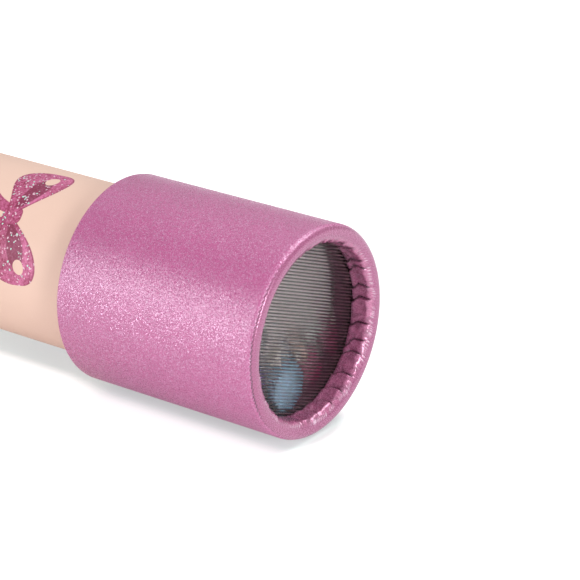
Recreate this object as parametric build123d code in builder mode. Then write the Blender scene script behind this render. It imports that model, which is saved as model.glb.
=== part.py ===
"""A toy kaleidoscope lying on its side: a card tube with three mirrors inside and a turning object cap.

Frame: millimetres, +Z up, +X along the tube towards the turning cap. The origin is on the surface that the
kaleidoscope lies on, under the middle of its length.
"""
import os
from math import acos, atan2, cos, degrees, hypot, radians, sin, sqrt

from build123d import *

os.makedirs("parts", exist_ok=True)

# ---------------------------------------------------------------- driving dimensions
overall_length = 200.0
cap_length = 64.0
tube_diameter = 47.2  # over the printed paper
tube_wall = 1.6  # spiral-wound card

paper = 0.3  # glitter paper and printed paper
glue_line = 0.05  # between two glued faces
running_gap = 0.3  # radial, between the tube and the rings that turn on it

guide_wall = 2.35  # card rings that turn on the tube, and the card rings of the eye end
sleeve_wall = 1.85
rim_ring_wall = 1.7  # inner ring of each rim, inside the sleeve
rim_depth = 6.5  # from the front edge of the cap to the ribbed window
rim_roll = 1.9  # radius of the rolled edge, over the paper
hem_gap = 0.3  # from the tube to the paper's hem at the open end of a sleeve

window_thickness = 1.2
rib_pitch = 0.85  # a moulded lens sheet with 30 ribs to the inch
rib_height = 0.2
rib_turn = -21.5  # degrees from level, about +X
cell_depth = 5.5  # room for the loose pieces, between the two windows
cell_wall = 2.25
inner_window_thickness = 1.0
rear_ring_length = 3.0
rear_ring_lip = 0.35  # from the bore of the tube to the bore of this ring
cell_gap = 0.5  # from the cell to the end of the tube

rear_guide_length = 12.0  # holds the cap behind the stop collar
collar_length = 8.0
collar_play = 0.4  # along the axis, each side of the stop collar
collar_clearance = 0.4  # radial, under the sleeve

eye_ring_length = 16.0
eye_recess = 4.5  # from the end of the eye ring to the paper face of the eye disc
eye_roll = 1.1
eye_disc_thickness = 2.0
eye_hole_diameter = 11.0
eye_window_thickness = 0.8
front_window_thickness = 0.8
front_window_inset = 0.5
disc_fit = 0.1  # radial, of the discs inside the tube

mirror_margin = 1.96  # card left in a centring plate, outside the corners of the mirrors
mirror_thickness = 1.2
mirror_end_gap = 0.2
mirror_edge_gap = 0.05  # at each long edge, where neighbouring mirrors meet
plate_thickness = 2.0  # card plates that centre the mirrors
plate_fit = 0.15
tape_width = 14.0
tape_thickness = 0.2
tape_count = 3

piece_gap = 0.25  # between loose pieces, and from them to the windows
wall_gap = 0.3  # from the loose pieces to the wall of the cell

# Each loose piece keeps within a circle of its own reach.
octagon_reach = 6.9
octagon_thickness = 2.4
gem_reach = 4.8
gem_thickness = 3.6
gem_draft = 40.0
sequin_reach = 4.5
sequin_thickness = 1.2
sequin_hole_radius = 0.7
chip_thickness = 2.2
chip_draft = 14.0
heart_draft = 0.0
heart_reach = 4.2
lobe_radius = 2.1
lobe_turn = 25.0  # degrees that the middle of a lobe stands above the middle of the heart
star_reach = 4.6
star_waist = 2.1
triangle_reach = 3.9
triangle_corner = 0.5
tube_bead_reach = 3.6
tube_bead_radius = 1.4
round_bead_reach = 2.3
bead_hole_radius = 0.5
ring_bead_reach = 3.0
ring_bead_section = 0.9
seed_bead_reach = 1.2
seed_bead_section = 0.45

# ---------------------------------------------------------------- stations along the axis
front_x = overall_length / 2
eye_x = -overall_length / 2

window_x = front_x - rim_depth
cell_front_x = window_x - window_thickness
cell_back_x = cell_front_x - cell_depth
inner_window_back_x = cell_back_x - inner_window_thickness
rear_ring_back_x = inner_window_back_x - rear_ring_length
tube_front_x = rear_ring_back_x - cell_gap
cap_back_x = front_x - cap_length
guide_back_x = cap_back_x + paper + glue_line
guide_front_x = guide_back_x + rear_guide_length
collar_back_x = guide_front_x + collar_play
collar_front_x = collar_back_x + collar_length
front_guide_back_x = collar_front_x + collar_play

eye_face_x = eye_x + eye_recess
tube_back_x = eye_face_x + paper + glue_line + eye_disc_thickness + glue_line
eye_window_x = tube_back_x + eye_window_thickness
eye_ring_front_x = eye_x + eye_ring_length
front_window_x = tube_front_x - front_window_inset
front_window_back_x = front_window_x - front_window_thickness
mirror_back_x = eye_window_x + mirror_end_gap
mirror_front_x = front_window_back_x - mirror_end_gap

# ---------------------------------------------------------------- radii about the axis
tube_radius = tube_diameter / 2
tube_card_radius = tube_radius - paper - glue_line
tube_inner = tube_card_radius - tube_wall
disc_radius = tube_inner - disc_fit
guide_inner = tube_radius + running_gap
liner_outer = guide_inner + guide_wall
sleeve_inner = liner_outer + glue_line
sleeve_outer = sleeve_inner + sleeve_wall
cap_radius = sleeve_outer + glue_line + paper  # the same at the eye ring
axis_height = cap_radius
rim_ring_inner = liner_outer - rim_ring_wall
rim_radius = rim_ring_inner - glue_line - paper
fold_roll = paper + glue_line  # the paper's fold round the sharp edge of a sleeve
collar_inner = tube_radius + glue_line
collar_outer = sleeve_inner - collar_clearance
cell_radius = liner_outer - cell_wall
eye_hole_radius = eye_hole_diameter / 2

AXIS = Axis((0, 0, axis_height), (1, 0, 0))
# A profile is drawn with x along the axis and y as the radius, and revolved about the axis.
PROFILE = Plane(origin=(0, 0, axis_height), x_dir=(1, 0, 0), z_dir=(0, -1, 0))


def across(x, turn=0):
    """The plane across the axis at x. Its own x is along +Y, or turned from there by degrees about +X."""
    sideways = (0, cos(radians(turn)), sin(radians(turn)))
    return Plane(origin=(x, 0, axis_height), x_dir=sideways, z_dir=(1, 0, 0))


def save(name, part):
    part.label = name
    export_step(part, f"parts/{name}.step")
    print(f"{name}: {len(part.solids())} solid(s), {part.volume:.1f} mm3")


def ring(x0, x1, inner_radius, outer_radius):
    """A plain ring of card, paper or plastic about the axis."""
    with BuildPart() as plain_ring:
        with BuildSketch(across(x0)):
            Circle(outer_radius)
            Circle(inner_radius, mode=Mode.SUBTRACT)
        extrude(amount=x1 - x0)
    return plain_ring.part


def disc(x0, x1, radius):
    """A plain disc across the axis."""
    with BuildPart() as plain_disc:
        with BuildSketch(across(x0)):
            Circle(radius)
        extrude(amount=x1 - x0)
    return plain_disc.part


def rounded_ring(x_end, x_other, inner_radius, outer_radius, rounded_radius, roll):
    """A card ring with one edge of its end rounded off, where paper is rolled over it."""
    with BuildPart() as core:
        with BuildSketch(PROFILE) as profile:
            with Locations(((x_end + x_other) / 2, (inner_radius + outer_radius) / 2)):
                Rectangle(abs(x_end - x_other), outer_radius - inner_radius)
            corner = Vertex(x_end, rounded_radius)
            fillet(profile.vertices().sort_by_distance(corner)[0], roll)
        revolve(axis=AXIS)
    return core.part


def rolled_paper(x_end, x_open, lining_length, roll, hem_radius):
    """Glitter paper round a sleeve: rolled over the end and down inside it, and folded over the open end."""
    out = 1 if x_end > x_open else -1
    middle = paper / 2
    lining_radius, skin_radius = rim_radius + middle, cap_radius - middle
    with BuildPart() as wrap:
        with BuildSketch(PROFILE):
            with BuildLine():
                FilletPolyline(
                    (x_end - out * lining_length, lining_radius),
                    (x_end - out * middle, lining_radius),
                    (x_end - out * middle, skin_radius),
                    (x_open + out * middle, skin_radius),
                    (x_open + out * middle, hem_radius),
                    radius=[roll - middle, roll - middle, fold_roll - middle],
                )
            trace(line_width=paper)
        revolve(axis=AXIS)
    return wrap.part


# ---------------------------------------------------------------- the tube
save("body_tube", ring(tube_back_x, tube_front_x, tube_inner, tube_card_radius))
save("printed_wrap", ring(tube_back_x, tube_front_x, tube_radius - paper, tube_radius))
save("stop_collar", ring(collar_back_x, collar_front_x, collar_inner, collar_outer))
save("front_window", disc(front_window_back_x, front_window_x, disc_radius))

# ---------------------------------------------------------------- the mirrors
# Three strips face the axis as the sides of an equilateral triangle, and one of them lies flat at the bottom.
# Their faces stand as far from the axis as leaves the margin outside their corners: with a face at height h
# from the axis, a strip's outer corner is at (h * sqrt(3) - mirror_edge_gap, h + mirror_thickness).
corner_radius = disc_radius - mirror_margin
half_linear = mirror_thickness - sqrt(3) * mirror_edge_gap
constant = mirror_edge_gap**2 + mirror_thickness**2 - corner_radius**2
mirror_inradius = (sqrt(half_linear**2 - 4 * constant) - half_linear) / 4
mirror_half_width = mirror_inradius * sqrt(3) - mirror_edge_gap
mirror_back = mirror_inradius + mirror_thickness
mirror_turns = {"mirror_bottom": 0, "mirror_right": 120, "mirror_left": 240}

for name, turn in mirror_turns.items():
    with BuildPart() as strip:
        with BuildSketch(across(mirror_back_x, turn)):
            with Locations((0, -mirror_inradius - mirror_thickness / 2)):
                Rectangle(2 * mirror_half_width, mirror_thickness)
        extrude(amount=mirror_front_x - mirror_back_x)
    save(name, strip.part)


def round_mirrors(margin):
    """The outline round the three strips: a triangle along their backs, with its corners cut off."""
    corner_cut = mirror_half_width * cos(radians(30)) + mirror_back * sin(radians(30))
    with BuildSketch() as outline:
        RegularPolygon(mirror_back + margin, 3, major_radius=False, rotation=-30)
        RegularPolygon(corner_cut + margin, 3, major_radius=False, rotation=30, mode=Mode.INTERSECT)
    return outline.sketch


def centring_plate(x0):
    """A card disc in the tube, with a window that holds the three mirrors."""
    with BuildPart() as plate:
        with BuildSketch(across(x0)):
            Circle(disc_radius)
            add(round_mirrors(plate_fit), mode=Mode.SUBTRACT)
        extrude(amount=plate_thickness)
    return plate.part


rear_plate_x = eye_window_x + glue_line
front_plate_x = front_window_back_x - glue_line - plate_thickness
save("rear_centring_plate", centring_plate(rear_plate_x))
save("front_centring_plate", centring_plate(front_plate_x))

# The bands of tape are spaced evenly between the two plates.
tape_bay = (front_plate_x - rear_plate_x - plate_thickness) / (tape_count + 1)
with BuildPart() as mirror_tapes:
    for number in range(1, tape_count + 1):
        tape_x = rear_plate_x + plate_thickness + number * tape_bay - tape_width / 2
        with BuildSketch(across(tape_x)):
            add(round_mirrors(glue_line + tape_thickness))
            add(round_mirrors(glue_line), mode=Mode.SUBTRACT)
        extrude(amount=tape_width)
save("mirror_tapes", mirror_tapes.part)

# ---------------------------------------------------------------- the eye end
eye_core_x = eye_x + paper + glue_line
eye_core_front_x = eye_ring_front_x - paper - glue_line
eye_core_roll = eye_roll - paper - glue_line
facing_front_x = eye_face_x + paper
disc_back_x = facing_front_x + glue_line

save(
    "eye_ring",
    rounded_ring(eye_core_x, eye_core_front_x, sleeve_inner, sleeve_outer, sleeve_outer, eye_core_roll),
)
save(
    "eye_rim_ring",
    rounded_ring(
        eye_core_x, eye_face_x - glue_line, rim_ring_inner, liner_outer, rim_ring_inner, eye_core_roll
    ),
)
save("eye_ring_liner", ring(tube_back_x, eye_core_front_x, collar_inner, liner_outer))
save(
    "eye_ring_wrap",
    rolled_paper(eye_x, eye_ring_front_x, eye_recess - glue_line, eye_roll, tube_radius + hem_gap),
)
save("eye_disc_facing", ring(eye_face_x, facing_front_x, eye_hole_radius, liner_outer))
save("eye_disc", ring(disc_back_x, disc_back_x + eye_disc_thickness, eye_hole_radius, liner_outer))
save("eye_window", disc(tube_back_x, eye_window_x, disc_radius))

# ---------------------------------------------------------------- the turning cap
cap_core_x = front_x - paper - glue_line
cap_core_roll = rim_roll - paper - glue_line

save(
    "cap_sleeve",
    rounded_ring(cap_core_x, guide_back_x, sleeve_inner, sleeve_outer, sleeve_outer, cap_core_roll),
)
save(
    "cap_rim_ring",
    rounded_ring(
        cap_core_x, window_x + glue_line, rim_ring_inner, liner_outer, rim_ring_inner, cap_core_roll
    ),
)
save(
    "cap_wrap",
    rolled_paper(front_x, cap_back_x, rim_depth - glue_line, rim_roll, tube_radius + hem_gap),
)
save("rear_guide_ring", ring(guide_back_x, guide_front_x, guide_inner, liner_outer))
save("front_guide_ring", ring(front_guide_back_x, rear_ring_back_x - glue_line, guide_inner, liner_outer))
save("cell_rear_ring", ring(rear_ring_back_x, inner_window_back_x, tube_inner + rear_ring_lip, liner_outer))
save("inner_window", disc(inner_window_back_x + glue_line, cell_back_x, liner_outer))
save("cell_spacer_ring", ring(cell_back_x + glue_line, cell_front_x - glue_line, cell_radius, liner_outer))

# The outer window is a disc cut from a lens sheet, with its rounded ribs on the front face.
rib_count = 2 * round(liner_outer / rib_pitch) + 1
ribs_plane = Plane(
    origin=(window_x - rib_height, 0, axis_height),
    x_dir=(0, -sin(radians(rib_turn)), cos(radians(rib_turn))),
    z_dir=(0, cos(radians(rib_turn)), sin(radians(rib_turn))),
)
with BuildPart() as ribbed_window:
    with BuildSketch(across(cell_front_x)):
        Circle(liner_outer)
    extrude(amount=window_thickness)
    with BuildSketch(ribs_plane):
        with BuildLine():
            first = -rib_count / 2 * rib_pitch
            for number in range(rib_count):
                start = first + number * rib_pitch
                ThreePointArc(
                    (start, 0), (start + rib_pitch / 2, rib_height), (start + rib_pitch, 0)
                )
            Polyline((-first, 0), (-first, -window_thickness), (first, -window_thickness), (first, 0))
        make_face()
    extrude(amount=cap_radius, both=True, mode=Mode.INTERSECT)
save("ribbed_window", ribbed_window.part)

# ---------------------------------------------------------------- the loose pieces
# The pieces' circles lie on the wall of the cell or on each other. Each is kept as its reach, and the distance
# of its centre from the axis along +Y and along +Z.
heap = {}


def lay_on_wall(name, reach, beside=None, side=1):
    """Lay a piece on the wall: at the lowest point, or beside another piece, towards +Y or -Y."""
    distance = cell_radius - wall_gap - reach
    turn = 0
    if beside:
        other_reach, other_y, other_z = heap[beside]
        other_distance = hypot(other_y, other_z)
        apart = reach + other_reach + piece_gap
        cosine = (distance**2 + other_distance**2 - apart**2) / (2 * distance * other_distance)
        turn = atan2(other_y, -other_z) + side * acos(cosine)
    heap[name] = (reach, distance * sin(turn), -distance * cos(turn))


def lay_between(name, reach, left, right):
    """Lay a piece on two others, above the gap between them."""
    left_reach, left_y, left_z = heap[left]
    right_reach, right_y, right_z = heap[right]
    from_left, from_right = left_reach + reach + piece_gap, right_reach + reach + piece_gap
    apart = hypot(right_y - left_y, right_z - left_z)
    along = (from_left**2 - from_right**2 + apart**2) / (2 * apart)
    rise = sqrt(from_left**2 - along**2)
    unit_y, unit_z = (right_y - left_y) / apart, (right_z - left_z) / apart
    heap[name] = (reach, left_y + along * unit_y - rise * unit_z, left_z + along * unit_z + rise * unit_y)


lay_on_wall("blue_octagon", octagon_reach)
lay_on_wall("magenta_gem", gem_reach, "blue_octagon", 1)
lay_on_wall("violet_sequin", sequin_reach, "blue_octagon", -1)
lay_on_wall("pink_heart", heart_reach, "magenta_gem", 1)
lay_on_wall("rose_star", star_reach, "violet_sequin", -1)
lay_between("peach_bead", round_bead_reach, "blue_octagon", "magenta_gem")
lay_between("amber_triangle", triangle_reach, "violet_sequin", "blue_octagon")
lay_between("green_tube_bead", tube_bead_reach, "peach_bead", "pink_heart")
lay_between("clear_ring_bead", ring_bead_reach, "rose_star", "amber_triangle")
lay_on_wall("seed_bead_1", seed_bead_reach, "pink_heart", 1)
lay_on_wall("seed_bead_2", seed_bead_reach, "rose_star", -1)
lay_between("seed_bead_3", seed_bead_reach, "amber_triangle", "blue_octagon")
lay_between("seed_bead_4", seed_bead_reach, "blue_octagon", "peach_bead")


def piece_plane(name, thickness, lean, turn=0):
    """The plane across a piece's middle: lean is 0 at the inner window and 1 at the ribbed window."""
    _, y, z = heap[name]
    room = cell_depth - 2 * piece_gap - thickness
    x = cell_back_x + piece_gap + thickness / 2 + lean * room
    plane = across(x, turn)
    plane.origin = (x, y, axis_height + z)
    return plane


def chip(plane, outline, thickness, draft):
    """A flat moulded piece: it is widest across its middle, and narrows by the draft angle to each face."""
    with BuildPart() as flat_piece:
        with BuildSketch(plane):
            add(outline)
        extrude(amount=thickness / 2, both=True, taper=draft)
    return flat_piece.part


octagon_plane = piece_plane("blue_octagon", octagon_thickness, lean=0.9)
gem_plane = piece_plane("magenta_gem", gem_thickness, lean=0.5, turn=8)
sequin_plane = piece_plane("violet_sequin", sequin_thickness, lean=0.3)
heart_plane = piece_plane("pink_heart", chip_thickness, lean=0.8, turn=150)
star_plane = piece_plane("rose_star", chip_thickness, lean=0.7, turn=25)
triangle_plane = piece_plane("amber_triangle", chip_thickness, lean=1, turn=70)
tube_plane = piece_plane("green_tube_bead", 2 * tube_bead_radius, lean=0.6, turn=20)
bead_plane = piece_plane("peach_bead", 2 * round_bead_reach, lean=0.5)
ring_plane = piece_plane("clear_ring_bead", 2 * ring_bead_section, lean=0.4)
seed_planes = [
    piece_plane(f"seed_bead_{number}", 2 * seed_bead_section, lean=number / 4) for number in (1, 2, 3, 4)
]

with BuildSketch() as octagon:
    RegularPolygon(octagon_reach, 8, rotation=180 / 8)

with BuildSketch() as gem:
    RegularPolygon(gem_reach, 12)

with BuildSketch() as sequin:
    Circle(sequin_reach)
    Circle(sequin_hole_radius, mode=Mode.SUBTRACT)

with BuildSketch() as triangle:
    RegularPolygon(triangle_reach, 3)
    fillet(triangle.vertices(), triangle_corner)

with BuildSketch() as star:
    with BuildLine():
        corners = []
        for number in range(5):
            corners.append(Vector(star_reach, 0).rotate(Axis.Z, number * 72))
            corners.append(Vector(star_waist, 0).rotate(Axis.Z, number * 72 + 36))
        Polyline(*corners, close=True)
    make_face()

# Half of the heart is an arc from the notch over the lobe, and a straight side down to the tip.
lobe = Vector(heart_reach - lobe_radius, 0).rotate(Axis.Z, lobe_turn)
tip = Vector(0, -heart_reach)
notch = Vector(0, lobe.Y + sqrt(lobe_radius**2 - lobe.X**2))
to_tip = tip - lobe
side_turn = degrees(acos(lobe_radius / to_tip.length))
side_start = lobe + to_tip.normalized().rotate(Axis.Z, side_turn) * lobe_radius
lobe_top = lobe + Vector(lobe_radius, 0).rotate(Axis.Z, 60)
with BuildSketch() as heart:
    with BuildLine():
        ThreePointArc(notch, lobe_top, side_start)
        Line(side_start, tip)
        mirror(about=Plane.YZ)
    make_face()

with BuildPart(bead_plane) as peach_bead:
    Sphere(round_bead_reach)
    Cylinder(bead_hole_radius, 2 * round_bead_reach, mode=Mode.SUBTRACT)

with BuildPart(Plane(origin=tube_plane.origin, x_dir=tube_plane.z_dir, z_dir=tube_plane.x_dir)) as tube_bead:
    Cylinder(tube_bead_radius, 2 * sqrt(tube_bead_reach**2 - tube_bead_radius**2))
    Cylinder(bead_hole_radius, 2 * tube_bead_reach, mode=Mode.SUBTRACT)

with BuildPart(ring_plane) as ring_bead:
    Torus(ring_bead_reach - ring_bead_section, ring_bead_section)

with BuildPart(*seed_planes) as seed_beads:
    Torus(seed_bead_reach - seed_bead_section, seed_bead_section)

loose_pieces = {
    "blue_octagon": chip(octagon_plane, octagon.sketch, octagon_thickness, chip_draft),
    "magenta_gem": chip(gem_plane, gem.sketch, gem_thickness, gem_draft),
    "violet_sequin": chip(sequin_plane, sequin.sketch, sequin_thickness, chip_draft),
    "pink_heart": chip(heart_plane, heart.sketch, chip_thickness, heart_draft),
    "rose_star": chip(star_plane, star.sketch, chip_thickness, chip_draft),
    "amber_triangle": chip(triangle_plane, triangle.sketch, chip_thickness, chip_draft),
    "green_tube_bead": tube_bead.part,
    "peach_bead": peach_bead.part,
    "clear_ring_bead": ring_bead.part,
    "seed_beads": seed_beads.part,
}

# The heap settles with its centre of weight straight below the axis, so it is turned there as a whole.
weight_y, weight_z = 0, 0
for piece in loose_pieces.values():
    centre = piece.center(CenterOf.MASS)
    weight_y += piece.volume * centre.Y
    weight_z += piece.volume * (centre.Z - axis_height)
heap_turn = degrees(atan2(weight_y, -weight_z))
print(f"the heap of loose pieces is turned by {-heap_turn:.1f} degrees")
for name, piece in loose_pieces.items():
    save(name, piece.rotate(AXIS, -heap_turn))
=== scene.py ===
# %% [markdown]
# # A toy kaleidoscope, dressed
#
# The toy is a printed card tube with a wide pink cap that turns on one end. The hard shapes come ready made
# from the CAD model. This lesson adds what a plain solid can't show: paper that is pleated and rolled over
# a rim, fine glitter, a printed pattern, a ribbed window and clear pieces behind it.
#
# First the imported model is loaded. Its parts stay where they are, and everything else is built around them.

from math import cos, degrees, pi, radians, sin

import bpy
import numpy as np
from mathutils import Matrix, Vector


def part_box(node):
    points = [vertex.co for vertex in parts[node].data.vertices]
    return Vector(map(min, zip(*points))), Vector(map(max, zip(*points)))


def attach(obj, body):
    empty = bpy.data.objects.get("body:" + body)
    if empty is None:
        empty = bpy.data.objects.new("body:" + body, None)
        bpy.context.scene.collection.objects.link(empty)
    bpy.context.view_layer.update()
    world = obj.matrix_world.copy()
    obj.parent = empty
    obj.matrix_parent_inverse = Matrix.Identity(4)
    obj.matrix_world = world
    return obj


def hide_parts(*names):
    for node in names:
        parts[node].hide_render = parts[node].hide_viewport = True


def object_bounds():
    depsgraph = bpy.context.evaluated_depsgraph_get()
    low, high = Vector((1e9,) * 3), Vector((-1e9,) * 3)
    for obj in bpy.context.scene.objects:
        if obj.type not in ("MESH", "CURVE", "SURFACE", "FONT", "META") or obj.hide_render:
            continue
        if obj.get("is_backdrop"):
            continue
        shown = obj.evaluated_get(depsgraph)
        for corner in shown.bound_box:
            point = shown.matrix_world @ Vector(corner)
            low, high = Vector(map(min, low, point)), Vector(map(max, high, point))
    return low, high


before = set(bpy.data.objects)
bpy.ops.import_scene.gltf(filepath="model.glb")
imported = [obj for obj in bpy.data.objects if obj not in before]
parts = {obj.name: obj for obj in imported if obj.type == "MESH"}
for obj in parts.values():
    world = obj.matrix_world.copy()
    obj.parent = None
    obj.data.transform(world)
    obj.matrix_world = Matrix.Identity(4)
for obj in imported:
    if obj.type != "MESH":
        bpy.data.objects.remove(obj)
cad_box = [list(corner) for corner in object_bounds()]

# %% [markdown]
# Blender works in metres here, so sizes are written in millimetres and multiplied by `mm`. Where a size is
# already in the model, it is measured there: the tube and cap share one axis, level along X. Two sizes are
# written down: the opening inside a rim, and the thickness of the paper.

# %% Measure the tube and cap
mm = 0.001
cap_low, cap_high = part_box("cap_wrap")
eye_low, eye_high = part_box("eye_ring_wrap")
tube_low, tube_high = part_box("printed_wrap")

axis_height = (cap_low.z + cap_high.z) / 2
cap_radius = (cap_high.z - cap_low.z) / 2
tube_radius = (tube_high.z - tube_low.z) / 2
rim_radius = 24.2 * mm
paper = 0.3 * mm
print("axis height, cap radius and tube radius in mm:")
print([round(length / mm, 2) for length in (axis_height, cap_radius, tube_radius)])

# %% [markdown]
# ## The camera
#
# A long lens looks down on the cap from the front right, so the tube runs out of the picture on the left.
# The camera is placed by its position and by the direction it looks in, which two angles give.

# %% Place the camera
camera_place = (0.43948, -0.47095, 0.28069)
camera_turn, camera_rise = 0.6375, 0.3923  # radians round the toy and above the table
focal_length = 153.98  # millimetres, as Blender wants it
level_share = cos(camera_rise)
backwards = Vector((sin(camera_turn) * level_share, -cos(camera_turn) * level_share, sin(camera_rise)))

bpy.ops.object.camera_add(location=camera_place)
camera = bpy.context.object
camera.name = "camera"
camera.rotation_euler = (-backwards).to_track_quat("-Z", "Y").to_euler()
camera.data.lens = focal_length
camera.data.sensor_width = 36
camera.data.clip_start, camera.data.clip_end = 0.01, 20
bpy.context.scene.camera = camera
print("camera looks down by", round(degrees(camera_rise), 1), "degrees")

# %% [markdown]
# ## Shader arithmetic
#
# Patterns are sums of simple ones, and written as node trees they get long. A small class wraps a socket so
# that `a * 2 + b` adds the Math nodes by itself. A second class holds the nodes of a material or of the
# world: it makes any node from its type, its settings and the values of its sockets. A third class adds
# what only a finish needs.

# %% A socket that does arithmetic
class Signal:
    """One output of a shader node. Arithmetic on it adds Math nodes."""

    def __init__(self, nodes, socket):
        self.nodes, self.socket = nodes, socket

    def math(self, operation, *others):
        values = dict(enumerate((self, *others)))
        return self.nodes.node("ShaderNodeMath", {"operation": operation}, values)

    def flipped(self, operation, other):
        return self.nodes.node("ShaderNodeMath", {"operation": operation}, {0: other, 1: self})

    def __add__(self, other):
        return self.math("ADD", other)

    def __sub__(self, other):
        return self.math("SUBTRACT", other)

    def __mul__(self, other):
        return self.math("MULTIPLY", other)

    def __truediv__(self, other):
        return self.math("DIVIDE", other)

    def __lt__(self, other):
        return self.math("LESS_THAN", other)

    def __gt__(self, other):
        return self.math("GREATER_THAN", other)

    def __rsub__(self, other):
        return self.flipped("SUBTRACT", other)

    def __rtruediv__(self, other):
        return self.flipped("DIVIDE", other)

    __radd__, __rmul__ = __add__, __mul__

    def __abs__(self):
        return self.math("ABSOLUTE")

    def step(self, low, high):
        """0 below low and 1 above high, with a smooth change between them."""
        settings = {"interpolation_type": "SMOOTHSTEP"}
        return self.nodes.node("ShaderNodeMapRange", settings, {0: self, 1: low, 2: high})


print("sockets can be added, subtracted, multiplied, divided and compared")


# %% The nodes of a material or of the world
class Nodes:
    """The nodes of a material or of the world."""

    def __init__(self, owner):
        owner.use_nodes = True
        self.tree = owner.node_tree

    def node(self, kind, settings=None, values=None, output=0):
        made = self.tree.nodes.new(kind)
        for setting, value in (settings or {}).items():
            setattr(made, setting, value)
        for socket, value in (values or {}).items():
            self.feed(made.inputs[socket], value)
        return Signal(self, made.outputs[output])

    def feed(self, socket, value):
        if isinstance(value, Signal):
            self.tree.links.new(value.socket, socket)
        else:
            socket.default_value = value

    def rays(self, *kinds):
        """For each kind of ray, such as "Camera", 1 where the ray is of that kind."""
        path = self.node("ShaderNodeLightPath").socket.node
        return [Signal(self, path.outputs[f"Is {kind} Ray"]) for kind in kinds]


print("nodes are made by type, settings and values")


# %% A finish
class Finish(Nodes):
    """A material with one Principled shader."""

    def __init__(self, name, **constants):
        self.material = bpy.data.materials.new(name)
        super().__init__(self.material)
        self.shader = self.tree.nodes["Principled BSDF"]
        for socket, value in constants.items():
            self.set(socket.replace("_", " "), value)

    def set(self, socket, value):
        self.feed(self.shader.inputs[socket], value)

    def place(self):
        """The place on the object, in metres."""
        return self.node("ShaderNodeTexCoord", output="Object")

    def parted(self, vector):
        """The three values of a vector or colour."""
        split = self.node("ShaderNodeSeparateXYZ", values={0: vector}).socket.node
        return [Signal(self, output) for output in split.outputs]

    def joined(self, x, y, z):
        return self.node("ShaderNodeCombineXYZ", values={0: x, 1: y, 2: z})

    def mixed(self, first, second, amount):
        """The first colour where amount is 0, and the second where it is 1."""
        values = {0: amount, 6: first, 7: second}
        return self.node("ShaderNodeMix", {"data_type": "RGBA"}, values, output=2)

    def attribute(self, name):
        """A value that a piece carries at its points."""
        return self.node("ShaderNodeAttribute", {"attribute_name": name}, output="Fac")

    def vectors(self, operation, values, output=0):
        return self.node("ShaderNodeVectorMath", {"operation": operation}, values, output)

    def flakes(self, vector, size):
        """A random colour for each cell of a Voronoi pattern, with cells about as large as size."""
        values = {"Vector": vector, "Scale": 1 / size, "Randomness": 1.0}
        return self.node("ShaderNodeTexVoronoi", {"feature": "F1"}, values, output="Color")

    def noise(self, vector, size, detail=2.0, roughness=0.5):
        """Soft noise from 0 to 1, with grains about as large as size."""
        values = {"Vector": vector, "Scale": 1 / size, "Detail": detail, "Roughness": roughness}
        return self.node("ShaderNodeTexNoise", values=values)

    def bump(self, height, depth, normal=None):
        values = {"Height": height, "Strength": 1.0, "Distance": depth}
        if normal:
            values["Normal"] = normal
        self.set("Normal", self.node("ShaderNodeBump", values=values))


print("a finish starts from one Principled shader")

# %% [markdown]
# Three more helpers are shared by many finishes. `rgb` writes a colour as it looks on a screen and turns it
# into the light values that shaders use, and `shades` gives a darker and a lighter form of one colour.
# `round_axis` unrolls a pattern that is wound round the tube: it gives the place along the axis, the angle
# about it and the distance from it.

# %% Colours, and places round the axis
def rgb(red, green, blue):
    """A colour from 0 to 255 a channel, as the light values of a shader."""
    light = []
    for channel in (red, green, blue):
        share = channel / 255
        light.append(share / 12.92 if share <= 0.04045 else ((share + 0.055) / 1.055) ** 2.4)
    return (*light, 1.0)


def shades(base, darker, lighter=1.0):
    return [rgb(*(channel * share for channel in base)) for share in (darker, lighter)]


def round_axis(finish):
    x, y, z = finish.parted(finish.place())
    height = z - axis_height
    angle = y.math("ARCTAN2", height)
    distance = (y * y + height * height).math("SQRT")
    return x, angle, distance


print("pink", [round(value, 3) for value in rgb(205, 125, 170)])

# %% [markdown]
# ## Glitter paper
#
# The paper is a pink foil under a clear film, embossed with flakes a sixth of a millimetre across. Each
# flake lies at its own small tilt, so some catch the light and their neighbours don't. Cells of a Voronoi
# pattern are the flakes: the random colour of a cell tilts the surface's normal, lightens a few flakes and
# makes others shiny.
#
# The pleated sheets carry three values at their points: `calm` is 1 on the rim and inside it, where the
# paper is pressed smooth, `fold` is painted shade, strongest in a crease and just behind it, and also in the
# dents between crumples, at the hem inside the rim and along the puckered line, and the third marks the
# crests of wrinkles that are painted pale as painted highlights.

# %% Glitter paper
flake_size = 0.16 * mm
glitter_pink = (182, 84, 137)
glitter_tilt = 0.49


def tilted_flakes(finish, flake, lean):
    """The surface's normal, leaned a different way in every flake."""
    centred = finish.vectors("SUBTRACT", {0: flake, 1: (0.5, 0.5, 0.5)})
    leaned = finish.vectors("SCALE", {0: centred, "Scale": lean})
    face = finish.node("ShaderNodeNewGeometry", output="Normal")
    return finish.vectors("NORMALIZE", {0: finish.vectors("ADD", {0: face, 1: leaned})})


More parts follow.
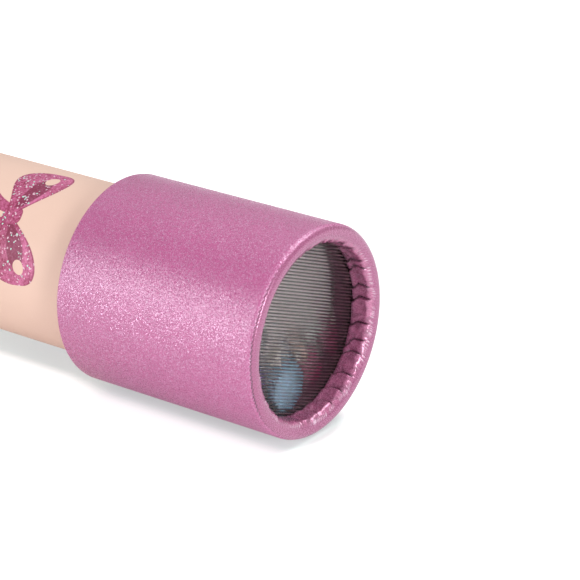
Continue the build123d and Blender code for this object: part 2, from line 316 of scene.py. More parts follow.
def pressed(finish, colour, height):
    """Adds the smooth rim, the crumpled lining, painted shade in creases and crumples, and painted highlights
    on wrinkles.
    """
    calm, fold, painted_glint = (finish.attribute(value) for value in ("calm", "fold", "painted_glint"))
    x, angle, distance = round_axis(finish)
    inside = 1 - distance.step(rim_radius + 0.1 * mm, rim_radius + 1.1 * mm)
    round_rim = angle * rim_radius
    crinkle = finish.noise(finish.joined(round_rim, distance * 0.2, x * 0.2), 0.5 * mm, detail=3)
    crumple = finish.noise(finish.joined(round_rim, distance, x * 0.6), 1.3 * mm, detail=4)
    # painted light: the smooth foil inside the rim is lighter than on its crest, against the shade inside the
    # rim
    smooth_foil_painted_lighter_inside = finish.mixed(rgb(160, 82, 122), rgb(190, 108, 146), inside)
    colour = finish.mixed(colour, smooth_foil_painted_lighter_inside, calm * 0.8)
    # painted shade: the crumpled lining is darkened in patches where the crumple noise is high
    colour = finish.mixed(colour, rgb(112, 54, 84), inside * calm * crumple.step(0.46, 0.62) * 0.5)
    # painted shade: creases, the dents between crumples, the hem inside the rim and the puckered line are
    # darkened
    colour = finish.mixed(colour, rgb(72, 30, 50), fold.step(0.1, 0.8) * 0.84)
    # painted highlight: the crests of the fine wrinkles on the roll are painted pale
    colour = finish.mixed(colour, rgb(244, 218, 236), painted_glint * 0.85)
    height = height * (1 - calm) + (crinkle + 3 * crumple * inside) * calm
    finish.set("Coat Weight", 0.55 * calm)
    return calm, colour, height


def glitter_paper(name, folded=False):
    finish = Finish(name, IOR=1.65, Specular_IOR_Level=1.0, Coat_Roughness=0.2)
    finish.set("Specular Tint", (0.84, 0.92, 1.0, 1))
    place = finish.place()
    flake = finish.flakes(place, flake_size)
    lift, shine, pale = finish.parted(flake)
    cloud = finish.noise(place, 9 * mm, detail=3)
    colour = finish.mixed(*shades(glitter_pink, 0.95, 1.04), cloud * 0.5 + lift * 0.5)
    height = finish.noise(place, 0.5 * mm) * 0.05
    calm = 0.0
    if folded:
        calm, colour, height = pressed(finish, colour, height)
    foil = pale > 0.8
    finish.set("Base Color", finish.mixed(colour, rgb(228, 186, 220), foil * (0.5 - 0.45 * calm)))
    finish.set("Metallic", 0.04 + 0.2 * foil + 0.26 * calm)
    finish.set("Roughness", 0.4 - 0.18 * shine + 0.04 * cloud - 0.06 * calm)
    lean = (0.5 + shine) * (glitter_tilt - glitter_tilt * 0.85 * calm)
    finish.bump(height, 0.09 * mm, normal=tilted_flakes(finish, flake, lean))
    return finish.material


cap_glitter = glitter_paper("glitter_paper_cap", folded=True)
flat_glitter = glitter_paper("glitter_paper_facing")
print("glitter flakes are", flake_size / mm, "mm across")

# %% [markdown]
# ## Card
#
# The tube, rings and discs are grey-brown card wound or pressed from layers. Close up it shows short
# fibres, flecks of darker pulp, and at a cut end the edges of the layers as thin rings.

# %% Card
card_layer = 0.4 * mm
winding = 46 * mm  # along the tube, from one turn of the card's spiral seam to the next


def card(name, base):
    finish = Finish(name, Roughness=0.9)
    x, angle, distance = round_axis(finish)
    place = finish.place()
    fibre = finish.noise(finish.joined(x * 0.3, angle * tube_radius, distance), 0.25 * mm, detail=4)
    fleck = finish.noise(place, 0.8 * mm, detail=1)
    layer = abs((distance / card_layer).math("FRACT") - 0.5) * 2
    seam = abs((x / winding + angle / (2 * pi)).math("FRACT") - 0.5)
    colour = finish.mixed(*shades(base, 0.8), fibre)
    colour = finish.mixed(colour, rgb(92, 74, 56), fleck.step(0.66, 0.76) * 0.5)
    colour = finish.mixed(colour, rgb(120, 98, 74), (1 - layer.step(0.05, 0.3)) * 0.25)
    colour = finish.mixed(colour, rgb(110, 88, 66), (1 - seam.step(0.002, 0.006)) * 0.6)
    finish.set("Base Color", colour)
    finish.set("Roughness", 0.84 + 0.12 * fibre)
    finish.bump(fibre + fleck * 0.6, 0.05 * mm)
    return finish.material


plain_card = card("card", (206, 190, 166))
print("card finish made")

# %% [markdown]
# ## The printed paper
#
# The tube wears a satin peach paper printed with ribbon bows in glitter ink. The bows are drawn by
# arithmetic: the surface is unrolled, divided into tiles, and in each tile a loop is the space round a
# curve that rises from the knot and closes at the loop's end. Folds, a darker edge and flecks of glitter go
# on top.

# %% Bow pattern
bow_rows = 2
bow_row_start = 0.7445  # where a row of bows begins, in rows round the axis
bow_along = 46 * mm
bow_start = -13.25 * mm  # where one column of bows begins, along the tube
loop_length = 19 * mm
loop_height = 11 * mm


def bow(u, v):
    """Masks of one bow about its knot, from the place along its width and across it."""
    # Two loops, each with a hole, a fold like a leaf and a drawn line.
    reach, side = abs(u) / loop_length, v / loop_height
    middle = side + 0.04 - 0.62 * reach.math("POWER", 1.25) - 0.1 * (reach * 5).math("SINE")
    closing = (1 - reach.math("POWER", 5)).math("MAXIMUM", 0).math("SQRT")
    swell = (reach * 1.75).math("SINE").math("MAXIMUM", 0).math("POWER", 1.2)
    room = 0.13 + 0.74 * swell * closing - abs(middle)
    loops = room.step(0, 0.03) * (reach < 1)
    leaf = (reach * 3.74).math("SINE").math("MAXIMUM", 0).math("POWER", 0.8) * (0.16 + 0.27 * reach)
    fold = (leaf - abs(middle - 0.2 * reach)).step(0, 0.05) * (reach > 0.1)
    hole_place = ((reach - 0.74) / 0.11).math("POWER", 2) + ((middle - 0.2) / 0.17).math("POWER", 2)
    hole = (1 - hole_place).step(0, 0.15)
    drawn = 1 - abs(middle + 0.22 - 0.3 * reach).step(0, 0.05)
    line = drawn * reach.step(0.15, 0.3) * (1 - reach.step(0.7, 0.85))

    # The knot, and two tails that hang from it.
    high = abs(v - 0.5 * mm) / (0.3 * loop_height)
    knot_place = (abs(u) / (0.14 * loop_length)).math("POWER", 3) + high.math("POWER", 3)
    knot = (1 - knot_place).step(0, 0.15)
    down = (0 - side).math("MAXIMUM", 0)
    bend = 0.08 + 0.36 * down.math("POWER", 0.9) - 0.08 * (down * 3).math("SINE")
    beside = abs(reach - bend)
    tail = (0.08 + 0.06 * down - beside).step(0, 0.015) * (side < 0) * (down < 1.5 + 0.8 * beside)

    # What is inked at all, and what is darker.
    whole = (loops * (1 - hole)).math("MAXIMUM", tail).math("MAXIMUM", knot)
    edge = (1 - room.step(0.04, 0.1)) * loops
    knot_edge = (1 - (1 - knot_place).step(0.1, 0.5)) * knot
    dark_edge = edge.math("MAXIMUM", knot_edge).math("MAXIMUM", line * loops * 0.8 * (1 - knot))
    return whole, dark_edge, fold * loops * (1 - knot), tail * (1 - loops) * (1 - knot)


def bow_tile(x, angle):
    """The place about the knot of the nearest bow. Each bow is turned a little differently."""
    column = ((x - bow_start) / bow_along).math("FLOOR")
    row_place = angle * (bow_rows / (2 * pi)) + column * 0.5 + bow_row_start
    row = row_place.math("FLOOR")
    across = (row_place - row - 0.5) * (2 * pi * tube_radius / bow_rows)
    along = ((x - bow_start) / bow_along - column - 0.5) * bow_along
    turn = 0.3 * (column * 2.1 + row * 1.7 + 0.5).math("SINE") - 1.57
    turn_cos, turn_sin = turn.math("COSINE"), turn.math("SINE")
    return along * turn_cos + across * turn_sin, across * turn_cos - along * turn_sin


print("a loop is", round(loop_length / mm), "mm long")

# %% Printed paper
ink_flake = 0.42 * mm
wrap_seam = 2.9  # radians round the axis, where the paper's ends overlap


def printed_paper():
    finish = Finish("printed_paper", Specular_IOR_Level=0.35)
    x, angle, distance = round_axis(finish)
    place = finish.place()
    whole, edge, fold, tail = bow(*bow_tile(x, angle))

    tone, bright, kind = finish.parted(finish.flakes(place, ink_flake))
    cloud = finish.noise(place, 8 * mm)
    ink = finish.mixed(rgb(134, 40, 72), rgb(204, 112, 154), tone * 0.6 + (cloud - 0.35) * 1.5)
    ink = finish.mixed(ink, rgb(112, 34, 60), fold * 0.75)
    ink = finish.mixed(ink, rgb(134, 42, 76), (edge + tail * 0.35) * 0.6)
    ink = finish.mixed(ink, rgb(222, 190, 204), bright.step(0.92, 0.98) * 0.9)
    ink = finish.mixed(ink, rgb(176, 212, 200), bright < 0.02)

    fibre = finish.noise(place, 0.5 * mm, detail=3)
    sheet = finish.mixed(rgb(219, 187, 171), rgb(226, 194, 178), finish.noise(place, 14 * mm))
    sheet = finish.mixed(sheet, rgb(212, 178, 160), fibre * 0.25)
    seam = 1 - abs(angle - wrap_seam).step(0.0, 0.006)
    colour = finish.mixed(finish.mixed(sheet, ink, whole), rgb(196, 160, 146), seam * 0.6)
    finish.set("Base Color", colour)
    finish.set("Roughness", 0.58 + 0.08 * fibre - 0.2 * whole * tone)
    finish.bump(fibre * 0.4 + whole * 0.5 + whole * tone * 0.5, 0.02 * mm)
    return finish.material


print_finish = printed_paper()
print("bows repeat every", round(bow_along / mm), "mm along the tube,", bow_rows, "times round it")

# %% [markdown]
# ## Clear plastic and mirror
#
# The front and eye windows are thin clear sheets. They let light through and mirror it at their faces, and
# they carry faint scratches from handling. The ribbed window is a lens sheet: its ribs are real geometry in
# the model, so they bend what lies behind them into stripes. The lower flank of each rib on the front face
# is painted dark, as painted shade for the dark stripes that the ribs show, and this painted shade is
# partly cleared near where the blue octagon leans against the sheet. A milky sheet closes the back of the
# cell and spreads the light, and it is painted darker round its edge as painted shade. The mirrors are
# silvered strips, bound together with tape.

# %% Windows
window_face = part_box("ribbed_window")[1].x
octagon_low, octagon_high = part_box("blue_octagon")
octagon_middle = (octagon_low + octagon_high) / 2
touching_place = Vector((window_face, octagon_middle.y - 3 * mm, octagon_middle.z + 0.6 * mm))
rib_turn = -21.5  # degrees about the axis, from ribs that lie level
rib_pitch = 0.85 * mm


def clear_sheet():
    finish = Finish("clear_plastic", Transmission_Weight=1.0, IOR=1.46)
    place = finish.place()
    x, y, z = finish.parted(place)
    fine = finish.noise(finish.joined(x, y * 0.2 + z, z * 3 - y), 0.6 * mm, detail=5)
    cloud = finish.noise(place, 12 * mm)
    finish.set("Base Color", finish.mixed(rgb(232, 238, 240), rgb(250, 250, 250), cloud * 0.5))
    finish.set("Roughness", 0.03 + 0.02 * fine.step(0.5, 0.8))
    return finish.material


def ribbed_sheet():
    """The lens sheet: the lower flank of each rib on its front face is painted dark, as painted shade."""
    finish = Finish("ribbed_plastic", Transmission_Weight=1.0, IOR=1.4)
    place = finish.place()
    x, y, z = finish.parted(place)
    lean = radians(rib_turn)
    up = (z - axis_height) * cos(lean) - y * sin(lean)
    rib = (up / rib_pitch + 0.5).math("FRACT")
    front = x > window_face - 0.5 * mm
    # painted shade: the lower flank of each rib is dark, standing for the dark stripes that the ribs show
    clear = (abs(rib - 0.25) - 0.222).step(-0.03, 0.03)
    # near the blue octagon the painted shade is partly cleared
    away = finish.vectors("DISTANCE", {0: place, 1: touching_place}, output="Value")
    clear = clear.math("MAXIMUM", (1 - away.step(3 * mm, 6.5 * mm)) * 0.36)
    tint = finish.mixed(rgb(20, 16, 18), rgb(255, 252, 252), clear)
    finish.set("Base Color", finish.mixed(rgb(250, 248, 248), tint, front))
    finish.set("Roughness", 0.02 * finish.noise(place, 1.4 * mm, detail=4))
    return finish.material


def milky_sheet():
    """The back of the cell: a spreading sheet, painted darker round its edge as painted shade of the cell's
    wall.
    """
    finish = Finish("milky_sheet", IOR=1.5, Coat_Weight=0.2)
    x, angle, distance = round_axis(finish)
    cloud = finish.noise(finish.place(), 3 * mm, detail=3)
    # painted shade: a dark ring round the edge of the sheet, with a ragged inner border
    edge = (distance + (cloud - 0.5) * (1.5 * mm)).step(22.3 * mm, 23.2 * mm)
    sheet = finish.mixed(rgb(244, 236, 236), rgb(255, 248, 247), cloud)
    finish.set("Base Color", finish.mixed(sheet, rgb(84, 52, 66), edge))
    finish.set("Roughness", 0.5 + 0.15 * cloud)
    finish.bump(cloud, 0.02 * mm)
    return finish.material


clear_plastic = clear_sheet()
ribbed_plastic = ribbed_sheet()
milky_plastic = milky_sheet()
print("the ribs are", round(rib_pitch / mm, 2), "mm apart and turned by", rib_turn, "degrees")


# %% Mirrors and tape
def mirror_strip():
    finish = Finish("mirror_strip", Metallic=1.0)
    place = finish.place()
    smear = finish.noise(place, 11 * mm, detail=4)
    finish.set("Base Color", finish.mixed(rgb(214, 219, 222), rgb(236, 239, 240), smear))
    finish.set("Roughness", 0.02 + 0.07 * smear.step(0.5, 0.75))
    finish.bump(finish.noise(place, 30 * mm), 0.05 * mm)
    return finish.material


def tape():
    finish = Finish("tape", Roughness=0.4)
    place = finish.place()
    x, y, z = finish.parted(place)
    strand = finish.noise(finish.joined(x * 12, y, z), 2 * mm, detail=3)
    finish.set("Base Color", finish.mixed(rgb(206, 190, 152), rgb(228, 216, 184), strand))
    finish.set("Roughness", 0.34 + 0.2 * strand)
    finish.bump(strand, 0.03 * mm)
    return finish.material


silvered = mirror_strip()
tape_finish = tape()
print("silvered and tape finishes made")

# %% [markdown]
# ## Moulded pieces
#
# Behind the window tumble beads, chips and a sequin of coloured plastic. Each has the faint swirl of
# moulded plastic and a soft gloss. The ring between the windows is plain moulded plastic with the same
# swirl.

# %% Moulded plastic
def moulded(name, base, clear=0.0, pearl=0.0, roughness=0.18):
    finish = Finish(name, Transmission_Weight=clear, IOR=1.5, Coat_Weight=0.3, Metallic=pearl)
    place = finish.place()
    swirl = finish.noise(place, 2.2 * mm, detail=3, roughness=0.6)
    finish.set("Base Color", finish.mixed(*shades(base, 0.82), swirl.step(0.3, 0.7)))
    finish.set("Roughness", roughness + 0.15 * swirl)
    finish.bump(finish.noise(place, 0.7 * mm), 0.02 * mm)
    return finish.material


ring_plastic = moulded("ring_plastic", (134, 94, 108), roughness=0.4)
piece_finishes = {
    "blue_octagon": moulded("blue_plastic", (160, 216, 246)),
    "magenta_gem": moulded("magenta_plastic", (196, 84, 126), clear=0.15),
    "violet_sequin": moulded("violet_plastic", (140, 100, 176), pearl=0.5),
    "pink_heart": moulded("deep_pink_plastic", (172, 96, 122)),
    "rose_star": moulded("wine_plastic", (152, 78, 100), clear=0.1),
    "amber_triangle": moulded("honey_plastic", (248, 240, 230)),
    "green_tube_bead": moulded("mint_plastic", (228, 236, 230)),
    "peach_bead": moulded("peach_plastic", (238, 206, 194), pearl=0.1),
    "clear_ring_bead": moulded("clear_bead_plastic", (226, 232, 238), clear=0.9),
    "seed_beads": moulded("seed_bead_plastic", (244, 238, 230), pearl=0.1),
}
print(len(piece_finishes), "finishes for the loose pieces")

# %% [markdown]
# ## Finishes on the parts
#
# Each part that keeps its own shape now gets its finish.

# %% Put finishes on the model's parts
def paint(node, material):
    mesh = parts[node].data
    mesh.materials.clear()
    mesh.materials.append(material)


card_parts = (
    "body_tube", "stop_collar", "rear_centring_plate", "front_centring_plate", "eye_ring", "eye_rim_ring",
    "eye_ring_liner", "eye_disc", "cap_sleeve", "cap_rim_ring", "rear_guide_ring", "front_guide_ring",
    "cell_rear_ring",
)
for node in card_parts:
    paint(node, plain_card)
for node in ("mirror_bottom", "mirror_right", "mirror_left"):
    paint(node, silvered)
for node in ("front_window", "eye_window"):
    paint(node, clear_plastic)
for node, material in piece_finishes.items():
    paint(node, material)
paint("printed_wrap", print_finish)
paint("mirror_tapes", tape_finish)
paint("eye_disc_facing", flat_glitter)
paint("inner_window", milky_plastic)
paint("cell_spacer_ring", ring_plastic)
paint("ribbed_window", ribbed_plastic)
print("painted", len(card_parts), "card parts and the rest")

# %% [markdown]
# ## Paper rolled over a rim
#
# The glitter paper goes round the sleeve, over the rim and down inside it. Outside it is smooth. Inside,
# the same strip has to lie on a smaller circle, so it gathers into pleats, and the roll between is finely
# wrinkled.
#
# The sheet starts as a circle of points at its hem and is extruded from station to station along the paper.
# No tool of Blender's lays irregular pleats, so the points are then moved in code, and Solidify gives the
# sheet its thickness.

# %% Stations along the paper
cap_lining, cap_roll = 6.45 * mm, 1.9 * mm  # how far the paper reaches inside, and the radius it rolls to
eye_lining, eye_roll = 4.45 * mm, 1.1 * mm
lining_steps, inner_steps, outer_steps, hem_steps = 12, 10, 17, 3


def arc(centre_x, centre_r, radius, start, stop, steps):
    """Points of an arc in the plane of the axis, without the first. Angles are from the axis, in degrees."""
    points = []
    for number in range(1, steps + 1):
        angle = radians(start + (stop - start) * number / steps)
        points.append((centre_x + radius * cos(angle), centre_r + radius * sin(angle)))
    return points


def paper_stations(length, lining, roll):
    """The paper's outer face, from the hem inside the rim to the hem on the tube.

    Each station is a place along the axis, measured from the rim, and a radius.
    """
    fold = 0.35 * mm
    hem = tube_radius + 0.3 * mm
    flat = cap_radius - rim_radius - 2 * roll
    stations = [
        (-lining + (lining - roll) * number / lining_steps, rim_radius) for number in range(lining_steps + 1)
    ]
    stations += arc(-roll, rim_radius + roll, roll, -90, 0, inner_steps)
    stations += [(0, rim_radius + roll + flat)]
    stations += arc(-roll, cap_radius - roll, roll, 0, 90, outer_steps)
    stations += [(-roll - (length - roll - fold) * share, cap_radius) for share in (0.01, 0.04, 0.5)]
    stations += [(-length + fold, cap_radius)]
    stations += arc(-length + fold, cap_radius - fold, fold, 90, 180, hem_steps)
    stations += [(-length, hem)]
    return stations


cap_stations = paper_stations(cap_high.x - cap_low.x, cap_lining, cap_roll)
eye_stations = paper_stations(eye_high.x - eye_low.x, eye_lining, eye_roll)
print(len(cap_stations), "stations along the cap's paper")

# %% Extrude the sheet
points_round = 960


def extruded_sheet(name, stations, end_x, outward):
    """A sheet about the axis through the stations, which are measured from the rim at end_x."""
    for other in bpy.context.selected_objects:
        other.select_set(False)
    reach, radius = stations[0]
    centre = Vector((end_x + outward * reach, 0, axis_height))
    bpy.ops.mesh.primitive_circle_add(
        vertices=points_round, radius=radius, location=centre, rotation=(0, pi / 2, 0)
    )
    sheet = bpy.context.object
    sheet.name = name
    bpy.ops.object.mode_set(mode="EDIT")
    bpy.ops.mesh.select_all(action="SELECT")
    for next_reach, next_radius in stations[1:]:
        step = outward * (next_reach - reach)
        bpy.ops.mesh.extrude_region_move(TRANSFORM_OT_translate={"value": (step, 0, 0)})
        centre.x += step
        scale = next_radius / radius
        bpy.ops.transform.resize(value=(1, scale, scale), center_override=centre)
        reach, radius = next_reach, next_radius
    bpy.ops.mesh.select_all(action="SELECT")
    bpy.ops.mesh.normals_make_consistent(inside=False)
    bpy.ops.object.mode_set(mode="OBJECT")
    bpy.ops.object.transform_apply(location=True, rotation=True, scale=True)
    return sheet


print(points_round, "points round each sheet")

# %% [markdown]
# The pleats are worked out on the unrolled paper. For each point of a sheet that needs its angle round the
# axis, its distance along the paper from the hem, and the way its face points: inwards on the lining, and
# turning with the roll.

# %% Smooth curves, and the unrolled paper
def smooth(value, low, high):
    """0 below low and 1 above high, with a smooth change between them."""
    share = np.clip((value - low) / (high - low), 0, 1)
    return share * share * (3 - 2 * share)


def wavy(random, turns, count):
    """A smooth random curve round the axis with count values, from -1 to 1."""
    values = random.uniform(-1, 1, count)
    place = (turns % 1) * count
    index = np.floor(place).astype(int) % count
    share = place - np.floor(place)
    share = share * share * (3 - 2 * share)
    return values[index] * (1 - share) + values[(index + 1) % count] * share


def turned_from(turns, place):
    """How far each point is from a place round the axis, in turns."""
    return np.abs((turns - place + 0.5) % 1 - 0.5)


hair = 1e-6  # metres: places nearer than this count as the same


class Unrolled:
    """The points of an extruded sheet as places on flat paper."""

    def __init__(self, sheet, end_x, outward, lining, roll):
        self.mesh = sheet.data
        points = np.empty(len(self.mesh.vertices) * 3)
        self.mesh.vertices.foreach_get("co", points)
        self.points = points.reshape(-1, 3)
        self.outward, self.lining, self.roll = outward, lining, roll
        self.top = lining - roll  # where the roll begins, along the paper
        self.roll_length = roll * pi / 2

        back = outward * (end_x - self.points[:, 0])
        y, z = self.points[:, 1], self.points[:, 2] - axis_height
        self.radius, angle = np.hypot(y, z), np.arctan2(z, y)
        self.turns = angle / (2 * pi)

        roll_centre = rim_radius + roll
        outer_centre = cap_radius - roll
        on_inner = (self.radius < roll_centre) & (back < roll)
        on_outer = (self.radius > outer_centre) & (back < roll)
        on_lining = (self.radius < rim_radius + hair) & (back >= roll) & (back < lining + paper)
        roll_angle = np.arctan2(roll_centre - self.radius, roll - back)
        outer_angle = np.arctan2(self.radius - outer_centre, roll - back)
        self.along = np.where(on_lining, lining - back, lining - roll + roll * (pi / 2 - roll_angle))
        self.on_outer, self.outer_angle = on_outer, outer_angle
        self.lined = on_lining | on_inner
        self.pressed = self.lined | (back < hair)

        # The way the face points: its part along the axis, and its part away from the axis.
        face_x = np.where(on_lining, 0.0, np.where(on_inner, np.cos(roll_angle), 0.0))
        face_r = np.where(on_lining, -1.0, np.where(on_inner, -np.sin(roll_angle), 0.0))
        self.face_x = np.where(on_outer, np.cos(outer_angle), face_x)
        self.face_r = np.where(on_outer, np.sin(outer_angle), face_r)

    def move(self, lift):
        """Moves each point the way its face points."""
        y, z = self.points[:, 1], self.points[:, 2] - axis_height
        radius = self.radius + self.face_r * lift
        self.points[:, 0] += self.outward * self.face_x * lift
        self.points[:, 1] = y * radius / self.radius
        self.points[:, 2] = axis_height + z * radius / self.radius
        self.mesh.vertices.foreach_set("co", self.points.ravel())
        self.mesh.update()

    def store(self, name, values):
        """Keeps a value at each point, where the finish can read it."""
        attribute = self.mesh.attributes.new(name, "FLOAT", "POINT")
        attribute.data.foreach_set("value", values.astype(np.float32))


print("a wavy curve:", wavy(np.random.default_rng(1), np.arange(4) / 4, 5).round(2))

# %% [markdown]
# A pleat rises slowly and drops at its crease, and the crease hooks sideways near the window. On the roll
# the pleats fade into fine wrinkles, and crumples reach down the lining. Where the outer face begins, the
# edge of the embossed film leaves a thin puckered line. The draws of random numbers follow one another in a
# fixed order, so the paper comes out the same each time.

# %% Pleats, wrinkles and the puckered line
pleat_count = 30
wrinkle_count = 168
pucker_count = 140


def pleats(flat, random):
    """How far the pleats stand out of the lining, and the painted shade at each crease and just behind it."""
    starts = (np.arange(pleat_count) + random.uniform(-0.28, 0.28, pleat_count)) / pleat_count
    hooks = random.uniform(0.6, 2.6, pleat_count) * mm
    drifts = random.uniform(-0.4, 1.2, pleat_count) * mm
    heights = random.uniform(0.5, 1.0, pleat_count) * mm
    behind = np.full(len(flat.points), 1e9)
    ahead = np.full(len(flat.points), 1e9)
    height = np.zeros(len(flat.points))
    hooked = 1 - smooth(flat.along, 0, 2.4 * mm)
    drifted = smooth(flat.along, 3 * mm, flat.lining + flat.roll * 0.5)
    for start, hook, drift, rise in zip(starts, hooks, drifts, heights):
        shift = -hook * hooked - drift * drifted
        gap = (flat.turns - start - shift / (2 * pi * rim_radius)) % 1 * 2 * pi * rim_radius
        closer = gap < behind
        behind = np.where(closer, gap, behind)
        height = np.where(closer, rise, height)
        ahead = np.minimum(ahead, 2 * pi * rim_radius - gap)
    share = behind / (behind + ahead)
    nearest = np.minimum(behind, ahead)
    fade = 1 - smooth(flat.along, flat.lining - flat.roll * 1.1, flat.top + flat.roll_length * 0.6)
    bulge = 0.16 * mm * np.sin(pi * share)
    lift = fade * (height * (0.35 + 0.65 * share**1.6) + bulge) * smooth(nearest, -0.05 * mm, 0.42 * mm)
    deep = np.exp(-((nearest / (0.27 * mm)) ** 2))
    shadow = 0.4 * np.exp(-((behind / (1.1 * mm)) ** 2))
    return lift, np.maximum(deep, shadow) * fade


def roll_wrinkles(flat, random):
    """Fine wrinkles on the roll and the broader ones under them, each running a little askew."""
    skew = flat.turns + 0.006 * (flat.along - flat.lining) / flat.roll
    place = skew * wrinkle_count + 1.1 * wavy(random, skew, 75)
    pulled = 0.3 + 0.7 * smooth(turned_from(flat.turns, 0.27), 0.08, 0.22)
    fine = (0.5 + 0.5 * np.cos(2 * pi * place)) ** 1.5 * (0.5 + 0.5 * wavy(random, skew, 101)) * pulled
    return fine, wavy(random, skew, 61)


def crumples(flat, random):
    """How far the crumples stand out of the lining, and the painted shade in the dents between them."""
    turned, along = flat.turns, flat.along
    lower = (1 - smooth(along, flat.top, flat.lining - flat.roll * 0.5)) * smooth(along, 0, 1 * mm)
    crumple = wavy(random, turned + 0.012 * along / mm, 71) * wavy(random, turned - 0.02 * along / mm, 43)
    dent_shade = 0.45 * lower * np.exp(-((crumple / 0.05) ** 2)) * (0.5 + 0.5 * wavy(random, turned, 37))
    return lower * 0.3 * mm * abs(crumple) ** 0.7, dent_shade


def puckered_line(flat, random):
    """How far each point lies from the film's edge on the outer roll, and how deep the groove is there; its
    depth also sets painted shade along the line.
    """
    saw = (flat.turns * pucker_count + 0.7 * wavy(random, flat.turns, 60)) % 1 - 0.5
    line = radians(50) + 0.24 * saw + 0.05 * wavy(random, flat.turns, 33)
    from_line = (flat.outer_angle - line) * flat.roll
    puckered = 1 - smooth(turned_from(flat.turns, 0.49), 0.07, 0.17)
    presence = (0.12 + 0.88 * puckered) * (0.75 + 0.25 * wavy(random, flat.turns, 40))
    return from_line, np.exp(-((from_line / (0.18 * mm)) ** 2)) * flat.on_outer * presence


def pleat(flat, seed):
    """Gathers the lining of a sheet into pleats, and wrinkles its roll."""
    random = np.random.default_rng(seed)
    lift, crease = pleats(flat, random)
    fine, broad = roll_wrinkles(flat, random)
    crumple, dent_shade = crumples(flat, random)
    from_line, groove = puckered_line(flat, random)

    # The groove only sinks into the outer face, so the outline keeps the model's size.
    along, roll = flat.along, flat.roll
    roll_end = smooth(along, flat.top + flat.roll_length * 0.48, flat.top + flat.roll_length * 0.74)
    on_roll = smooth(along, flat.lining - roll * 0.9, flat.lining - roll * 0.45) * (1 - roll_end)
    wrinkle = flat.lined * (on_roll * (0.17 * mm * fine + 0.08 * mm * broad) + crumple)
    flat.move(np.where(flat.lined, lift + wrinkle, 0) - 0.25 * mm * groove)

    # The three values that the glitter finish reads: painted shade, the smooth pressed paper and painted
    # highlights.
    # painted shade at the hem, where the lining meets the window
    hem_shade = 0.5 * (1 - smooth(along, 0.3 * mm, 1.1 * mm))
    # the painted shade that the finish reads as fold: creases, dents and the hem on the lining, the groove
    # outside
    depth = np.where(flat.lined, np.maximum(np.maximum(crease, dent_shade), hem_shade), groove)
    flat.store("fold", np.clip(depth, 0, 1))
    flat.store("calm", np.where(flat.on_outer, 1 - smooth(from_line, -0.1 * mm, 0.1 * mm), flat.pressed))
    # Painted highlights: pale marks along the roll's crest where the fine wrinkles rise, kept out of the
    # creases.
    crest = along - flat.lining + roll - flat.roll_length * (0.52 + 0.1 * broad)
    painted_crest_glint = np.exp(-((crest / (0.22 * roll)) ** 2))
    pale = np.clip(painted_crest_glint * flat.lined * (fine * 1.7 - 0.4), 0, 1)
    flat.store("painted_glint", pale * (1 - np.clip(crease, 0, 1)))


print(pleat_count, "pleats and", wrinkle_count, "wrinkles round each rim")


# %% Make the cap's paper and the eye ring's
def finish_sheet(sheet, body, node):
    bpy.context.view_layer.objects.active = sheet
    solidify = sheet.modifiers.new("thickness", "SOLIDIFY")
    solidify.thickness = paper * 0.9
    solidify.offset = -1  # the sheet that was pleated stays the outer face
    bpy.ops.object.modifier_apply(modifier=solidify.name)
    bpy.ops.object.shade_smooth_by_angle(angle=radians(50))
    sheet.data.materials.append(cap_glitter)
    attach(sheet, body)
    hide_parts(node)
    print(sheet.name, "has", len(sheet.data.polygons), "faces")


cap_paper = extruded_sheet("cap_glitter_paper", cap_stations, cap_high.x, 1)
pleat(Unrolled(cap_paper, cap_high.x, 1, cap_lining, cap_roll), seed=4)
finish_sheet(cap_paper, "cap", "cap_wrap")

eye_paper = extruded_sheet("eye_ring_glitter_paper", eye_stations, eye_low.x, -1)
pleat(Unrolled(eye_paper, eye_low.x, -1, eye_lining, eye_roll), seed=9)
finish_sheet(eye_paper, "body", "eye_ring_wrap")

# %% [markdown]
# ## Floor and light
#
# The toy lies on a plain white table. Its colour, not more light, makes the background white: for the
# camera, and a little for what is seen through the windows, the table glows, and it keeps the toy's soft
# shadow. Near the toy the camera's glow is weaker, which paints the edge of that shadow, and there the
# table's colour is tinted to cancel the pink and peach light that the toy bounces onto it.

# %% Floor
floor_size = 6
shadow_end = 96.5 * mm  # either way along the axis, where the shadow begins to curve round the toy


def floor_finish():
    finish = Finish("white_table", Roughness=0.9)
    camera_ray, glass_ray = finish.rays("Camera", "Transmission")
    x, y, z = finish.parted(finish.place())
    # Painted shadow: the glow seen by the camera is weaker near the toy, and the table's colour there is
    # tinted against the toy's bounce light.
    by_tube = 1 - x.step(20 * mm, 42 * mm)
    beyond = (abs(x) - shadow_end).math("MAXIMUM", 0) * 2.2
    away = ((beyond * beyond + y * y).math("SQRT") * (1 + 0.35 * by_tube)).step(10 * mm, 18 * mm)
    grey = away.math("MAXIMUM", x.step(98 * mm, 103 * mm))  # the shadow has colour only by the toy
    shade = finish.mixed((0.43, 0.565, 0.53, 1), (0.4, 0.5, 0.52, 1), by_tube)
    shade = finish.mixed(shade, (0.47, 0.47, 0.47, 1), grey)
    finish.set("Base Color", finish.mixed(rgb(244, 244, 244), shade, camera_ray))
    glow_and_painted_shadow = camera_ray * (0.38 + 0.38 * away + 0.08 * by_tube) + glass_ray * 0.1
    finish.set("Emission Color", finish.joined(glow_and_painted_shadow, glow_and_painted_shadow, glow_and_painted_shadow))
    finish.set("Emission Strength", 1.0)
    return finish.material


bpy.ops.mesh.primitive_plane_add(size=floor_size, location=(0, 0, -0.2 * mm))  # just under the toy
floor = bpy.context.object
floor.name = "table"
floor.data.materials.append(floor_finish())
floor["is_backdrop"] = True
print("the table is", floor_size, "m across")

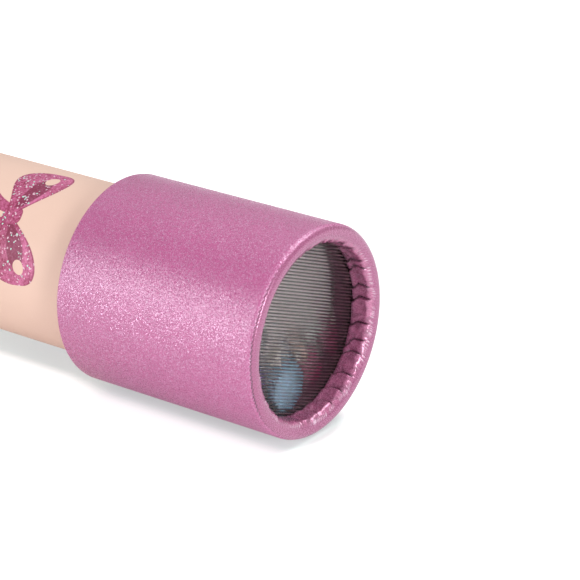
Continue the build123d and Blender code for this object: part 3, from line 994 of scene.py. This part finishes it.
# %% [markdown]
# Three round lamps light the toy: one above and behind it, one low at the front left, and a small one past
# the cap's end. A dark card leans over the front left, so the foil reflects it and keeps its depth of
# colour, and an even world fills the shadows.

# %% Lamps and world
def softbox(name, place, target, size, power):
    """A round lamp turned to its target. Places and size are in metres, and power is in watts."""
    bpy.ops.object.light_add(type="AREA", location=place)
    lamp = bpy.context.object
    lamp.name = name
    lamp.data.shape = "DISK"
    lamp.data.size = size
    lamp.data.energy = power
    lamp.rotation_euler = (Vector(target) - Vector(place)).to_track_quat("-Z", "Y").to_euler()


softbox("softbox_behind", (0.3, 0.62, 1.22), (0.04, 0, 0.02), 0.8, 9.2)
softbox("softbox_low", (-0.66, -0.99, 0.32), (0.04, 0, 0.03), 0.5, 6.7)
softbox("softbox_end", (1.2, -0.5, 0.42), (0.1, 0, 0.03), 0.36, 8.6)

card_place = Vector((-0.5, -0.6, 0.82))
card_target = Vector((0.04, 0, 0.03))
bpy.ops.mesh.primitive_grid_add(x_subdivisions=16, y_subdivisions=2, size=1, location=(0, 0, 0))
flag = bpy.context.object
flag.name = "dark_card"
flag.scale = (1.8, 0.62, 1)
flag.location = card_place
flag.rotation_euler = (card_target - card_place).to_track_quat("Z", "Y").to_euler()
black = Finish("black_card", Base_Color=rgb(20, 20, 20), Roughness=1.0)
flag.data.materials.append(black.material)
flag.visible_camera = False
flag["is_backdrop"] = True

world = bpy.data.worlds.new("studio")
bpy.context.scene.world = world
sky = Nodes(world)
camera_ray, glossy_ray = sky.rays("Camera", "Glossy")
background = sky.tree.nodes["Background"]
sky.feed(background.inputs["Color"], (1, 1, 1, 1))
sky.feed(background.inputs["Strength"], 0.66 + 0.34 * camera_ray - 0.11 * glossy_ray)
bpy.context.scene.view_settings.view_transform = "Standard"
print("three lamps, a dark card and an even world")

# %% [markdown]
# Last, the size of the dressed toy is written beside the size of the model.

# %% Finish
visual_box = [list(corner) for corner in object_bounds()]
for corners in zip(cad_box, visual_box):
    model, dressed = ([round(length / mm, 2) for length in corner] for corner in corners)
    print("corner", model, "becomes", dressed)
